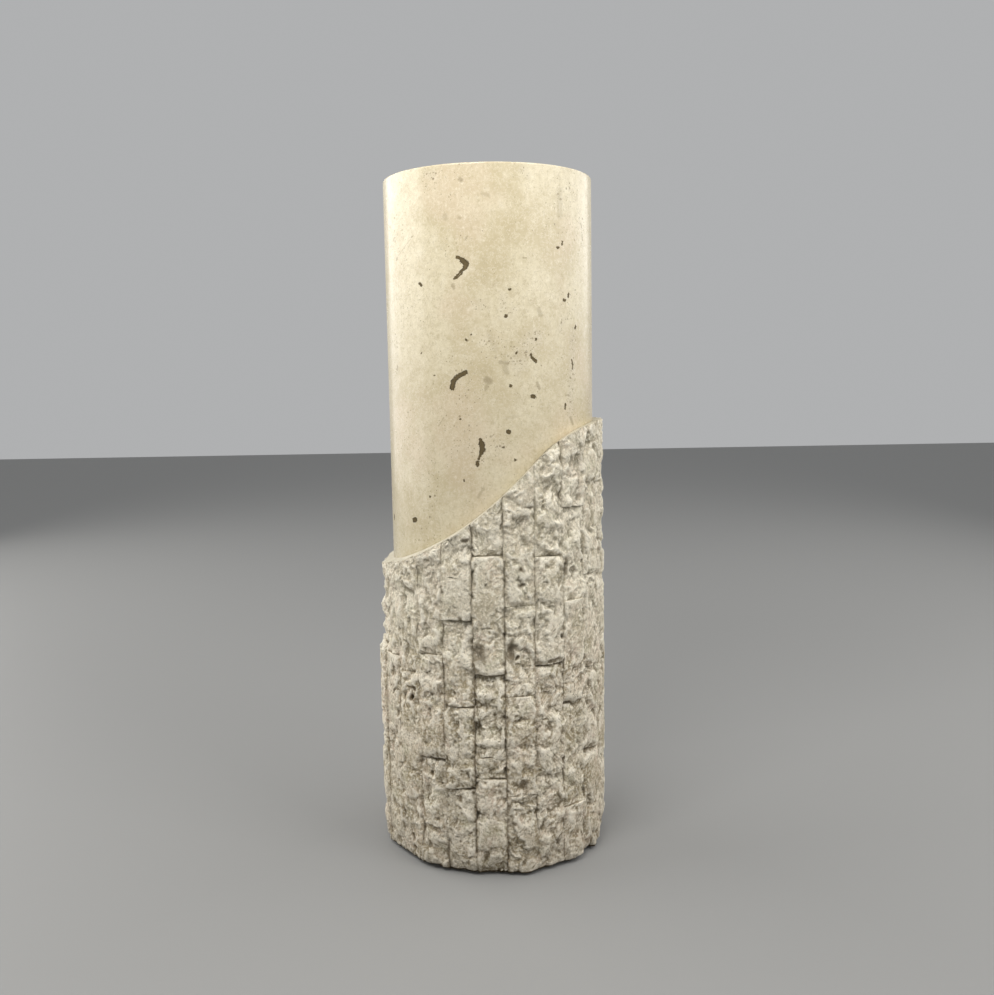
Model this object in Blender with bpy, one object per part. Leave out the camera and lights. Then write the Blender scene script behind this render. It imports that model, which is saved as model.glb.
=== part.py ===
"""Round stone column: a polished drum with a lower cladding of split stones.

Metres, +Z up. The origin is on the floor at the drum's axis, and -Y is the front. Angles round the
drum are counted from the front and grow towards +X.
"""

import math
import random

import bmesh
import bpy

# Driving dimensions
COLUMN_HEIGHT = 0.910
SHAFT_DIAMETER = 0.280
STONE_DEPTH = 0.0165  # how far a mean split face stands out from the polished drum
STRIP_COUNT = 24
FIRST_JOINT_ANGLE = math.radians(4.8)  # the joint just right of the front

# The sawn top of the cladding rises from left to right in one wave
CUT_LOW = 0.396
CUT_HIGH = 0.591
CUT_LOW_HANDLE = (1.42, 0.50)  # shares of the half width and of the rise, from the low end
CUT_HIGH_HANDLE = (0.765, 0.065)  # the same, back from the high end

# Joints and edges
STRIP_JOINT = 0.0012  # open joint between two strips, at the drum
FOOT_GAP = 0.003  # the cladding ends this far above the floor
TOUCH_GAP = 0.0003  # between the drum and the backs of the stones
TOP_ARRIS = 0.0015  # rounding of the drum's top edge
BED_RECESS = 0.0045  # how deep a bed joint lies under the shallower of its two stones
EDGE_RECESS = 0.0030  # how much a stone's face falls off at the strip's two edges
FOOT_RECESS = 0.0050  # the same at the foot, where the lower edges are chipped
SHOULDER = 0.0035  # width of that fall-off

# The split stones
SHORTEST_STONE = 0.110
LONGEST_STONE = 0.150
LEAST_TOP_STONE = 0.030  # a bed joint nearer to the sawn top than this is left out
FACE_SPREAD = 0.0020  # how much whole stones differ in depth
FACE_LEAN = 0.0030  # how much one stone's face leans, from end to end
FACE_LUMP = 0.0020  # lumps within a face
BED_SLOPE = 0.0040  # how much a bed joint may drop across its strip
SEED = 7

# The strips that show in front and in the outline, counted from the first joint, negative to the
# left: the heights of their bed joints, and how far each stone stands out past the mean face.
FRONT_BEDS = {
    -7: (0.150, 0.285),
    -6: (0.155, 0.287),
    -5: (0.142, 0.280),
    -4: (0.130, 0.2635),
    -3: (0.1545, 0.295),
    -2: (0.118, 0.2285, 0.343),
    -1: (0.1335, 0.272, 0.4265),
    0: (0.109, 0.2425, 0.361, 0.487),
    1: (0.133, 0.280, 0.4223),
    2: (0.082, 0.2235, 0.361, 0.4826),
    3: (0.146, 0.262, 0.388, 0.512),
    4: (0.120, 0.256, 0.376, 0.505),
    5: (0.136, 0.282, 0.412, 0.530),
    6: (0.124, 0.250, 0.380, 0.500),
}
FRONT_FACES = {
    -7: (0.004, 0.005, -0.0045),
    -6: (0.005, 0.0055, -0.004),
    -5: (0.001, 0.001, -0.003),
    -4: (0.000, 0.001, -0.001),
    -3: (-0.002, 0.002, 0.000),
    -2: (-0.001, 0.001, -0.001, 0.002),
    -1: (0.001, -0.001, 0.002, -0.002),
    0: (0.000, 0.001, -0.001, 0.000, 0.002),
    1: (-0.001, 0.000, 0.003, -0.001),
    2: (0.000, -0.001, 0.002, -0.002, 0.001),
    3: (-0.001, -0.002, 0.000, -0.003, -0.001),
    4: (-0.003, -0.002, -0.002, -0.005, -0.003),
    5: (-0.003, -0.002, -0.003, -0.005, -0.003),
    6: (-0.003, -0.003, -0.004, -0.005, -0.003),
}

SHAFT_RADIUS = SHAFT_DIAMETER / 2
FACE_RADIUS = SHAFT_RADIUS + STONE_DEPTH
BACK_RADIUS = SHAFT_RADIUS + TOUCH_GAP
STRIP_ANGLE = 2 * math.pi / STRIP_COUNT
JOINT_ANGLE = STRIP_JOINT / SHAFT_RADIUS
SHOULDER_SHARE = SHOULDER / (FACE_RADIUS * STRIP_ANGLE)
ACROSS = (0.0, SHOULDER_SHARE, 0.36, 0.64, 1 - SHOULDER_SHARE, 1.0)  # columns of a strip's face
FACE_ROWS = (0.26, 0.5, 0.75)  # rows up each stone, between its shoulders
SHAFT_SIDES = 96


def clear_scene():
    for ob in list(bpy.data.objects):
        bpy.data.objects.remove(ob, do_unlink=True)


def stone_material(name, colour, roughness):
    mat = bpy.data.materials.new(name)
    mat.use_nodes = True
    shader = mat.node_tree.nodes["Principled BSDF"]
    shader.inputs["Base Color"].default_value = (*colour, 1.0)
    shader.inputs["Roughness"].default_value = roughness
    shader.inputs["Metallic"].default_value = 0.0
    return mat


def add_object(name, bm, material, collection, smooth_angle):
    mesh = bpy.data.meshes.new(name)
    bm.to_mesh(mesh)
    bm.free()
    mesh.shade_smooth()
    mesh.set_sharp_from_angle(angle=smooth_angle)
    mesh.materials.append(material)
    ob = bpy.data.objects.new(name, mesh)
    collection.objects.link(ob)
    return ob


def polished_shaft(material, collection):
    """One solid drum from the floor to the top, with a small rounding on its top edge."""
    bm = bmesh.new()
    bmesh.ops.create_cone(
        bm,
        cap_ends=True,
        segments=SHAFT_SIDES,
        radius1=SHAFT_RADIUS,
        radius2=SHAFT_RADIUS,
        depth=COLUMN_HEIGHT,
    )
    bmesh.ops.translate(bm, verts=bm.verts, vec=(0, 0, COLUMN_HEIGHT / 2))
    top_edges = [e for e in bm.edges if all(v.co.z > COLUMN_HEIGHT / 2 for v in e.verts)]
    bmesh.ops.bevel(bm, geom=top_edges, offset=TOP_ARRIS, segments=2, affect="EDGES", profile=0.5)
    return add_object("polished_shaft", bm, material, collection, math.radians(35))


def cut_height(x):
    """Height of the sawn top at x, the same from front to back: one cubic Bezier curve."""
    half = FACE_RADIUS
    rise = CUT_HIGH - CUT_LOW
    xs = (-half, half * (CUT_LOW_HANDLE[0] - 1), half * (1 - CUT_HIGH_HANDLE[0]), half)
    zs = (
        CUT_LOW,
        CUT_LOW + rise * CUT_LOW_HANDLE[1],
        CUT_HIGH - rise * CUT_HIGH_HANDLE[1],
        CUT_HIGH,
    )

    def bezier(points, t):
        a, b, c, d = points
        s = 1 - t
        return a * s**3 + 3 * b * s * s * t + 3 * c * s * t * t + d * t**3

    low, high = 0.0, 1.0
    for _ in range(30):
        middle = (low + high) / 2
        if bezier(xs, middle) < x:
            low = middle
        else:
            high = middle
    return bezier(zs, low)


def strip_angles(strip):
    """Start and end angle of a strip's stones, with half a joint left at each side."""
    start = FIRST_JOINT_ANGLE + strip * STRIP_ANGLE
    return start + JOINT_ANGLE / 2, start + STRIP_ANGLE - JOINT_ANGLE / 2


def lowest_cut(strip):
    """Height of the sawn top at the lower end of a strip's top stone."""
    return min(cut_height(FACE_RADIUS * math.sin(angle)) for angle in strip_angles(strip))


def bed_heights(strip, rng):
    """Heights of the bed joints of a strip, from the foot to the last one under the sawn top."""
    top = lowest_cut(strip)
    beds = list(FRONT_BEDS.get(strip, (FOOT_GAP + rng.uniform(0.6, 1.1) * SHORTEST_STONE,)))
    while beds[-1] + LONGEST_STONE < top:
        beds.append(beds[-1] + rng.uniform(SHORTEST_STONE, LONGEST_STONE))
    return [z for z in beds if z < top - LEAST_TOP_STONE]


def strip_stones(strip, rng):
    """The strip's stones from the foot up: bed heights at both ends, and how each face lies."""
    beds = bed_heights(strip, rng)
    slopes = [rng.uniform(-0.5, 0.5) * BED_SLOPE for _ in beds]
    stones = []
    for i in range(len(beds) + 1):
        known = FRONT_FACES.get(strip, ())
        stands_out = known[i] if i < len(known) else rng.uniform(-1, 1) * FACE_SPREAD
        stone = {
            "foot": FOOT_GAP if i == 0 else beds[i - 1],
            "foot_slope": 0.0 if i == 0 else slopes[i - 1],
            "head": beds[i] if i < len(beds) else None,  # None is the sawn top
            "head_slope": slopes[i] if i < len(beds) else 0.0,
            "face": FACE_RADIUS + stands_out,
            "lean_up": rng.uniform(-0.5, 0.5) * FACE_LEAN,
            "lean_across": rng.uniform(-0.5, 0.5) * FACE_LEAN,
        }
        stones.append(stone)
    return stones


def strip_rows(strip, stones):
    """Rows of a strip's face from the foot up: stone, share of its height, and recess."""
    rows = []
    for i, stone in enumerate(stones):
        rim = SHOULDER / ((stone["head"] or lowest_cut(strip)) - stone["foot"])
        below = stones[i - 1]["face"] if i else stone["face"]
        bed_recess = BED_RECESS + max(0.0, stone["face"] - below)
        rows.append((stone, 0.0, bed_recess if i else FOOT_RECESS))
        last = 1 - rim if stone["head"] else 1.0
        rows += [(stone, share, 0.0) for share in (rim, *FACE_ROWS, last)]
    return rows


def place_on_face(strip, row, across, rng):
    """The point of the split face in a row of the strip, at a share of the way across it."""
    stone, share, recess = row
    start, end = strip_angles(strip)
    angle = start + (end - start) * across
    radius = stone["face"] - recess
    radius += stone["lean_up"] * (share - 0.5) + stone["lean_across"] * (across - 0.5)
    if across in (0.0, 1.0):
        radius -= EDGE_RECESS * rng.uniform(0.6, 1.2)
    if recess == 0.0:
        radius += FACE_LUMP * rng.uniform(-1, 1)
    x = radius * math.sin(angle)
    foot = stone["foot"] + stone["foot_slope"] * (across - 0.5)
    head = cut_height(x)
    if stone["head"]:
        head = stone["head"] + stone["head_slope"] * (across - 0.5)
    return x, -radius * math.cos(angle), foot + (head - foot) * share


def split_stone_strip(strip, name, material, collection):
    """A strip of stones: a unit block whose grid of faces is bent onto the drum."""
    rng = random.Random(SEED * STRIP_COUNT + strip)
    rows = strip_rows(strip, strip_stones(strip, rng))
    columns, row_gaps = len(ACROSS) - 1, len(rows) - 1
    bm = bmesh.new()
    bmesh.ops.create_grid(bm, x_segments=columns, y_segments=row_gaps, size=0.5)
    face_verts = list(bm.verts)
    grown = bmesh.ops.extrude_face_region(bm, geom=bm.faces[:], use_keep_orig=True)
    back_verts = [g for g in grown["geom"] if isinstance(g, bmesh.types.BMVert)]

    def grid_place(vert):
        return round((vert.co.x + 0.5) * columns), round((vert.co.y + 0.5) * row_gaps)

    def is_inner_rung(edge):
        (_, row), (_, other) = (grid_place(v) for v in edge.verts)
        return row == other and 0 < row < row_gaps

    back_rungs = [e for e in bm.edges if is_inner_rung(e)]
    face_points = {}
    for vert in face_verts:
        column, row = grid_place(vert)
        face_points[column, row] = place_on_face(strip, rows[row], ACROSS[column], rng)
    start, end = strip_angles(strip)
    for vert in back_verts:
        column, row = grid_place(vert)
        angle = start + (end - start) * ACROSS[column]
        x = BACK_RADIUS * math.sin(angle)
        z = cut_height(x) if row == row_gaps else face_points[column, row][2]
        vert.co = (x, -BACK_RADIUS * math.cos(angle), z)
    for vert in face_verts:
        vert.co = face_points[grid_place(vert)]
    back = set(back_verts)
    back_rungs = [e for e in back_rungs if all(v in back for v in e.verts)]
    bmesh.ops.dissolve_edges(bm, edges=back_rungs, use_verts=True)  # a plain back, flat up the drum
    bmesh.ops.recalc_face_normals(bm, faces=bm.faces[:])
    bmesh.ops.triangulate(bm, faces=bm.faces[:], quad_method="BEAUTY", ngon_method="BEAUTY")
    return add_object(name, bm, material, collection, math.radians(30))


def build():
    clear_scene()
    collection = bpy.data.collections.new("stone_column")
    bpy.context.scene.collection.children.link(collection)
    polished = stone_material("polished_stone", (0.66, 0.58, 0.42), 0.25)
    split = stone_material("split_stone", (0.52, 0.48, 0.41), 0.9)
    polished_shaft(polished, collection)
    left_half = STRIP_COUNT // 2
    for number in range(STRIP_COUNT):
        strip = number if number < left_half else number - STRIP_COUNT
        name = f"split_stone_strip_{number + 1:02d}"
        split_stone_strip(strip, name, split, collection)


build()
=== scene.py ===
import math

import bpy
import numpy as np
from mathutils import Matrix, Vector
from mathutils.bvhtree import BVHTree


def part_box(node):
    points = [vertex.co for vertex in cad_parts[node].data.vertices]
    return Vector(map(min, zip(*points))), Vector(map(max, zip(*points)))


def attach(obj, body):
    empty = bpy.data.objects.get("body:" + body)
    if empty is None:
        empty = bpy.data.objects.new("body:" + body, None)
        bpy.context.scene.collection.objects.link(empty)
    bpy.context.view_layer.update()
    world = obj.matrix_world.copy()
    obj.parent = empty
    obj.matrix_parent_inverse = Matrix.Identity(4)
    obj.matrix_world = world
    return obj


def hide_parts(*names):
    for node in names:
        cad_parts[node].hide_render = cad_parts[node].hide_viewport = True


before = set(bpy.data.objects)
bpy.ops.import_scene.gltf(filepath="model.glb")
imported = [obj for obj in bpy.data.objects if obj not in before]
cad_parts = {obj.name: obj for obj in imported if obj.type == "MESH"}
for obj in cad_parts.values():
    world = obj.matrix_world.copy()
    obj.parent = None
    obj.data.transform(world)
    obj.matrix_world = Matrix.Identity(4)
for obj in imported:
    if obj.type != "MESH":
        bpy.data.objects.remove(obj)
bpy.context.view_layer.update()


# Floor, light and camera
# A pale floor and soft studio light. The camera stands where the photograph was taken: a little
# right of the column's axis, 1.4 m in front of it, looking slightly down and leaning a degree.

def pale_surface(name, colour, roughness):
    surface = bpy.data.materials.new(name)
    surface.use_nodes = True
    shader = surface.node_tree.nodes["Principled BSDF"]
    shader.inputs["Base Color"].default_value = (*colour, 1.0)
    shader.inputs["Roughness"].default_value = roughness
    return surface


FLOOR_SIZE = 14.0
FLOOR_GREY = (0.27, 0.27, 0.265)
FLOOR_ROUGHNESS = 0.6
bpy.ops.mesh.primitive_plane_add(size=FLOOR_SIZE, location=(0, 0, 0))
floor = bpy.context.object
floor.name = "floor"
floor.data.materials.append(pale_surface("pale_floor", FLOOR_GREY, FLOOR_ROUGHNESS))

ROOM_TINT = (0.80, 0.81, 0.82, 1.0)
ROOM_BRIGHTNESS = 0.54
world = bpy.data.worlds.new("studio")
world.use_nodes = True
room_light = world.node_tree.nodes["Background"]
room_light.inputs["Color"].default_value = ROOM_TINT
room_light.inputs["Strength"].default_value = ROOM_BRIGHTNESS
bpy.context.scene.world = world

PANEL_TINT = (1.0, 0.98, 0.95)


def soft_box(name, place, look_at, width, height, power):
    data = bpy.data.lights.new(name, "AREA")
    data.shape = "RECTANGLE"
    data.size, data.size_y = width, height
    data.energy = power
    data.color = PANEL_TINT
    light = bpy.data.objects.new(name, data)
    light.location = place
    towards = Vector(look_at) - Vector(place)
    light.rotation_euler = towards.to_track_quat("-Z", "Y").to_euler()
    bpy.context.scene.collection.objects.link(light)


soft_box("left_panel", (-2.2, 1.0, 1.85), (0, 1.0, 1.85), 3.3, 1.7, 50)
soft_box("low_left_panel", (-2.2, 1.0, 0.60), (0, 1.0, 0.60), 3.3, 0.8, 13)
soft_box("right_panel", (2.2, 0.05, 1.85), (0, 0.05, 1.85), 5.2, 1.7, 58)
soft_box("low_right_panel", (2.2, 0.05, 0.80), (0, 0.05, 0.80), 5.2, 0.4, 7)
soft_box("top_panel", (-0.35, -0.80, 1.50), (0, 0, 0.6), 0.6, 0.3, 11.3)
soft_box("top_right_panel", (0.75, -0.65, 1.50), (0, 0, 0.6), 0.5, 0.3, 4.2)

PIXELS_HIGH = 995
FOCAL_PIXELS = 1000.0
SENSOR = 36.0
LOOK_DOWN = math.radians(7.13)
LEAN = math.radians(0.97)
CAMERA_PLACE = (0.0064, -1.393, 0.656)
lens = bpy.data.cameras.new("photo_camera")
lens.sensor_width = SENSOR
lens.lens = SENSOR * FOCAL_PIXELS / PIXELS_HIGH
camera = bpy.data.objects.new("photo_camera", lens)
look = Matrix.Rotation(math.pi / 2 - LOOK_DOWN, 4, "X") @ Matrix.Rotation(-LEAN, 4, "Z")
camera.matrix_world = Matrix.Translation(CAMERA_PLACE) @ look
bpy.context.scene.collection.objects.link(camera)
bpy.context.scene.camera = camera
bpy.context.scene.view_settings.view_transform = "Standard"


# The polished drum
# One round shaft of shelly cream limestone, turned on a lathe and polished all over. Its top edge
# has a fine arris with small chips, and fossil shells show in its face as brown curls and dots.

def add_piece(name, verts, faces, materials):
    mesh = bpy.data.meshes.new(name)
    mesh.from_pydata(verts, [], faces)
    for material in materials:
        mesh.materials.append(material)
    piece = bpy.data.objects.new(name, mesh)
    bpy.context.scene.collection.objects.link(piece)
    return piece


drum_foot, drum_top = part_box("polished_shaft")
DRUM_RADIUS = (drum_top.x - drum_foot.x) / 2
DRUM_HEIGHT = drum_top.z
DRUM_SIDES = 512
ARRIS = 0.0016
ARRIS_STEPS = 5
# Rings of the drum's side: shares of its height, then how far below and inside the arris they lie.
SIDE_RINGS = (0.2, 0.4, 0.6, 0.8, 0.95)
RINGS_BELOW_ARRIS = (0.008, 0.005, 0.003, 0.0018, 0.0009)
RINGS_INSIDE_ARRIS = (0.0008, 0.0018, 0.0035, 0.006, 0.02)
# Chips in the top edge: angle from the front, width and depth.
RIM_CHIPS = [
    (-9.0, 0.0026, 0.0016), (13.5, 0.0022, 0.0006), (-31.0, 0.0020, 0.0005), (150.0, 0.0040, 0.0014),
    (64.0, 0.0024, 0.0008), (-118.0, 0.0034, 0.0011), (-160.0, 0.0026, 0.0008),
]
CHIP_SHORTENED = 1.4  # a chip reaches less far down the side than along the edge
CHIP_INWARD = 0.8  # share of a chip's depth that it goes in, besides down
CHIPPED_TOP = 0.01  # chips lower only the drum's topmost 10 mm


def drum_profile():
    """Radius and height of the drum's outline, from the middle of the foot to the middle of the top."""
    points = [(0.0, 0.0), (DRUM_RADIUS * 0.5, 0.0), (DRUM_RADIUS, 0.0)]
    points += [(DRUM_RADIUS, DRUM_HEIGHT * share) for share in SIDE_RINGS]
    points += [(DRUM_RADIUS, DRUM_HEIGHT - ARRIS - step) for step in RINGS_BELOW_ARRIS]
    for k in range(ARRIS_STEPS + 1):
        turn = math.pi / 2 * k / ARRIS_STEPS
        radius = DRUM_RADIUS - ARRIS * (1 - math.cos(turn))
        points.append((radius, DRUM_HEIGHT - ARRIS * (1 - math.sin(turn))))
    points += [(DRUM_RADIUS - ARRIS - step, DRUM_HEIGHT) for step in RINGS_INSIDE_ARRIS]
    points += [(DRUM_RADIUS * 0.5, DRUM_HEIGHT), (0.0, DRUM_HEIGHT)]
    return points


def turned_drum():
    profile = drum_profile()
    rings = profile[1:-1]
    verts = [(0.0, 0.0, profile[0][1])]
    for radius, height in rings:
        for k in range(DRUM_SIDES):
            angle = 2 * math.pi * k / DRUM_SIDES
            bite = 0.0
            for where, wide, deep in RIM_CHIPS:
                along = (math.degrees(angle) - where + 180) % 360 - 180
                across = math.radians(along) * DRUM_RADIUS
                down = DRUM_HEIGHT - height
                inward = DRUM_RADIUS - radius
                far = math.sqrt(across**2 + (CHIP_SHORTENED * down) ** 2 + inward**2) / wide
                bite = max(bite, deep * max(0.0, 1 - far**2))
            chipped = radius - bite * CHIP_INWARD
            drop = bite if height > DRUM_HEIGHT - CHIPPED_TOP else 0.0
            verts.append((chipped * math.sin(angle), -chipped * math.cos(angle), height - drop))
    verts.append((0.0, 0.0, profile[-1][1]))
    faces = []
    last = len(verts) - 1
    for k in range(DRUM_SIDES):
        after = (k + 1) % DRUM_SIDES
        faces.append((0, 1 + after, 1 + k))
        for ring in range(len(rings) - 1):
            low, high = 1 + ring * DRUM_SIDES, 1 + (ring + 1) * DRUM_SIDES
            faces.append((low + k, low + after, high + after, high + k))
        faces.append((last - DRUM_SIDES + k, last - DRUM_SIDES + after, last))
    return verts, faces


class Nodes:
    """Adds shader nodes to a material and joins them."""

    def __init__(self, material):
        material.use_nodes = True
        self.tree = material.node_tree
        self.shader = self.tree.nodes["Principled BSDF"]

    def put(self, socket, value):
        if hasattr(value, "is_output"):
            self.tree.links.new(value, socket)
        else:
            socket.default_value = value

    def add(self, kind, inputs, output=0, **settings):
        node = self.tree.nodes.new(kind)
        for name, value in settings.items():
            setattr(node, name, value)
        for key, value in inputs.items():
            self.put(node.inputs[key], value)
        return node.outputs[output]

    def math(self, operation, *values):
        return self.add("ShaderNodeMath", dict(enumerate(values)), operation=operation)

    def vector(self, operation, *values, output=0):
        return self.add("ShaderNodeVectorMath", dict(enumerate(values)), output, operation=operation)

    def noise(self, where, scale, detail, rough, output=0):
        inputs = {"Vector": where, "Scale": scale, "Detail": detail, "Roughness": rough}
        return self.add("ShaderNodeTexNoise", inputs, output)

    def ramp(self, value, low, high, start=0.0, end=1.0):
        inputs = {"Value": value, "From Min": low, "From Max": high, "To Min": start, "To Max": end}
        return self.add("ShaderNodeMapRange", inputs, interpolation_type="SMOOTHSTEP")

    def mix(self, share, first, second):
        node = self.tree.nodes.new("ShaderNodeMix")
        node.data_type = "RGBA"
        self.put(node.inputs["Factor"], share)
        for key, value in (("A", first), ("B", second)):
            socket = [s for s in node.inputs if s.name == key and s.type == "RGBA"][0]
            self.put(socket, value if hasattr(value, "is_output") else (*value, 1.0))
        return [s for s in node.outputs if s.type == "RGBA"][0]

    def far_from_line(self, flat, from_angle, from_height, to_angle, to_height):
        """Distance on the unrolled drum from a line between two places, in metres."""
        start = Vector((math.radians(from_angle) * DRUM_RADIUS, from_height, 0.0))
        run = Vector((math.radians(to_angle) * DRUM_RADIUS, to_height, 0.0)) - start
        aside = self.vector("SUBTRACT", flat, tuple(start))
        share = self.vector("DOT_PRODUCT", aside, tuple(run / run.length_squared), output="Value")
        share = self.math("MINIMUM", self.math("MAXIMUM", share, 0.0), 1.0)
        nearest = self.add("ShaderNodeVectorMath", {0: tuple(run), "Scale": share}, operation="SCALE")
        return self.vector("DISTANCE", aside, nearest, output="Value")


# Shell marks on the drum: from angle and height, to angle and height, and half width in mm. Angles
# are in degrees from the front, heights in metres.
SHELLS = [
    (-15.6, 0.7975, -12.8, 0.7940, 2.2), (-12.8, 0.7932, -11.0, 0.7890, 3.6),
    (-10.8, 0.7880, -11.6, 0.7850, 3.2), (-11.6, 0.7840, -14.0, 0.7795, 2.0),
    (-14.0, 0.7795, -17.6, 0.7715, 1.2), (-12.9, 0.7780, -16.6, 0.7715, 0.8),
    (-19.7, 0.6380, -19.2, 0.6450, 3.5), (-19.1, 0.6455, -16.8, 0.6515, 3.2),
    (-16.8, 0.6515, -12.4, 0.6570, 3.0), (-5.4, 0.5725, -5.0, 0.5690, 2.2),
    (-4.9, 0.5680, -4.3, 0.5610, 3.7), (-4.3, 0.5620, -5.0, 0.5560, 3.0),
    (-5.0, 0.5560, -6.6, 0.5480, 1.4), (-7.1, 0.5440, -7.2, 0.5405, 2.2),
    (-38.2, 0.7685, -37.0, 0.7660, 1.9), (9.0, 0.5820, 9.4, 0.5815, 2.9),
    (12.4, 0.5465, 12.7, 0.5460, 1.6), (22.2, 0.6255, 23.2, 0.6250, 2.6),
    (21.7, 0.6775, 22.2, 0.6740, 1.6), (22.3, 0.6735, 24.6, 0.6690, 2.2),
    (8.7, 0.7245, 8.9, 0.7255, 1.9), (10.7, 0.7570, 11.0, 0.7570, 1.6),
    (10.4, 0.6390, 10.8, 0.6390, 1.9), (-35.0, 0.4985, -34.7, 0.4985, 1.4),
    (52.4, 0.7110, 53.0, 0.7135, 1.8), (42.8, 0.7460, 44.0, 0.7455, 1.9), (46.3, 0.7500, 46.8, 0.7540, 1.6),
    (38.3, 0.8100, 39.6, 0.8105, 1.3), (41.8, 0.8140, 42.1, 0.8180, 1.4),
    (-47.4, 0.4655, -46.0, 0.4665, 3.4), (-73.5, 0.4600, -73.0, 0.4640, 2.2),
    (43.2, 0.6080, 43.6, 0.6140, 1.5), (-15.9, 0.5985, -15.6, 0.5985, 1.1),
    (-14.5, 0.5220, -14.3, 0.5200, 1.1), (6.2, 0.5630, 6.6, 0.5625, 1.3),
    (-11.9, 0.6969, -11.6, 0.6965, 1.3), (-9.4, 0.7030, -9.1, 0.7035, 1.0),
    (49.0, 0.6700, 50.0, 0.6640, 1.3), (50.0, 0.6640, 49.6, 0.6590, 1.2),
    (-38.3, 0.6817, -38.0, 0.6817, 0.9), (-30.3, 0.6533, -30.0, 0.6533, 0.9),
    (24.6, 0.6960, 24.9, 0.6970, 1.5), (13.6, 0.6790, 14.0, 0.6800, 1.2),
]
# Softer marks, with how much they darken the stone.
BLOTCHES = [
    (-1.6, 0.6470, -0.2, 0.6450, 5.0, 0.55), (-1.0, 0.6430, -2.2, 0.6350, 2.6, 0.40),
    (25.0, 0.6420, 26.4, 0.6350, 2.6, 0.45), (5.4, 0.6685, 9.0, 0.6670, 3.0, 0.45),
    (7.6, 0.6650, 8.6, 0.6560, 4.6, 0.30), (-13.4, 0.8905, -12.6, 0.8890, 3.2, 0.50),
    (26.5, 0.7330, 27.5, 0.7270, 4.0, 0.35), (47.5, 0.5960, 49.5, 0.5880, 2.6, 0.50),
    (-18.4, 0.7640, -17.8, 0.7600, 2.6, 0.45), (-21.8, 0.8480, -21.4, 0.8450, 4.0, 0.28),
    (-14.2, 0.8446, -13.6, 0.8446, 2.4, 0.30), (-60.4, 0.6620, -60.0, 0.6660, 2.4, 0.60),
    (-60.6, 0.8270, -59.6, 0.8300, 1.9, 0.60), (-64.5, 0.8190, -63.0, 0.8220, 1.2, 0.50),
    (-57.2, 0.8020, -56.6, 0.8040, 2.0, 0.60), (-55.5, 0.8060, -44.0, 0.8240, 0.6, 0.45),
    (-43.2, 0.8265, -42.0, 0.8275, 1.4, 0.55), (18.0, 0.7955, 19.6, 0.7960, 1.0, 0.60),
    (59.4, 0.8440, 59.8, 0.8390, 1.6, 0.60), (60.6, 0.8290, 61.2, 0.8240, 1.6, 0.60),
    (40.7, 0.8800, 40.5, 0.8500, 6.0, 0.22), (-4.4, 0.5110, -7.0, 0.5000, 2.4, 0.35),
    (-11.0, 0.8185, -10.2, 0.8215, 1.3, 0.45), (44.0, 0.6260, 46.5, 0.6250, 1.6, 0.45),
    (-2.0, 0.8720, 1.0, 0.8700, 2.6, 0.25), (8.0, 0.5990, 14.0, 0.6010, 2.6, 0.14),
    (-28.0, 0.5900, -25.0, 0.6010, 0.8, 0.35), (0.5, 0.7000, 3.0, 0.6850, 5.0, 0.14),
    (-9.3, 0.9095, -8.7, 0.9090, 1.5, 0.90), (13.5, 0.9095, 13.9, 0.9090, 1.0, 0.60),
    (150.0, 0.7000, 153.0, 0.7100, 1.5, 0.75), (-140.0, 0.6000, -138.0, 0.6120, 1.6, 0.80),
    (110.0, 0.8200, 113.0, 0.8160, 2.2, 0.50), (-105.0, 0.7500, -102.5, 0.7440, 1.3, 0.80),
    (172.0, 0.5600, 174.0, 0.5650, 1.5, 0.75), (-165.0, 0.8000, -163.5, 0.8060, 1.2, 0.80),
]
# Swarms of small specks, with the width of the swarm in mm and how thick the specks lie in it.
SWARMS = [
    (24.0, 0.6980, 14.0, 0.6680, 16.0, 0.85), (-31.6, 0.9004, -29.0, 0.8990, 7.0, 0.85),
    (19.0, 0.9000, 21.0, 0.8950, 7.0, 0.75), (-6.0, 0.7412, -3.5, 0.7380, 8.0, 0.60),
    (7.4, 0.7500, 7.0, 0.7330, 6.0, 0.70), (12.8, 0.7310, 12.0, 0.7240, 8.0, 0.60),
    (50.5, 0.7060, 47.5, 0.6000, 8.0, 0.80), (43.0, 0.7210, 38.8, 0.7058, 6.0, 0.60),
    (60.0, 0.8500, 61.5, 0.8200, 7.0, 0.60), (-20.0, 0.5550, -12.0, 0.5620, 9.0, 0.45),
    (-62.0, 0.6300, -60.0, 0.7000, 9.0, 0.45), (4.0, 0.5600, 8.0, 0.5630, 7.0, 0.45),
    (100.0, 0.7500, 130.0, 0.7200, 20.0, 0.60), (-150.0, 0.6600, -130.0, 0.7200, 22.0, 0.60),
    (178.0, 0.8300, 165.0, 0.7800, 22.0, 0.60), (-95.0, 0.5400, -110.0, 0.6400, 18.0, 0.60),
]

WOBBLE = (0.0022, 0.0022, 0.0)  # how far the marks' edges swing, and below how ragged they are
RAGGED = (0.0038, 0.0038, 0.0)
HALF = (0.5, 0.5, 0.5)

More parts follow.
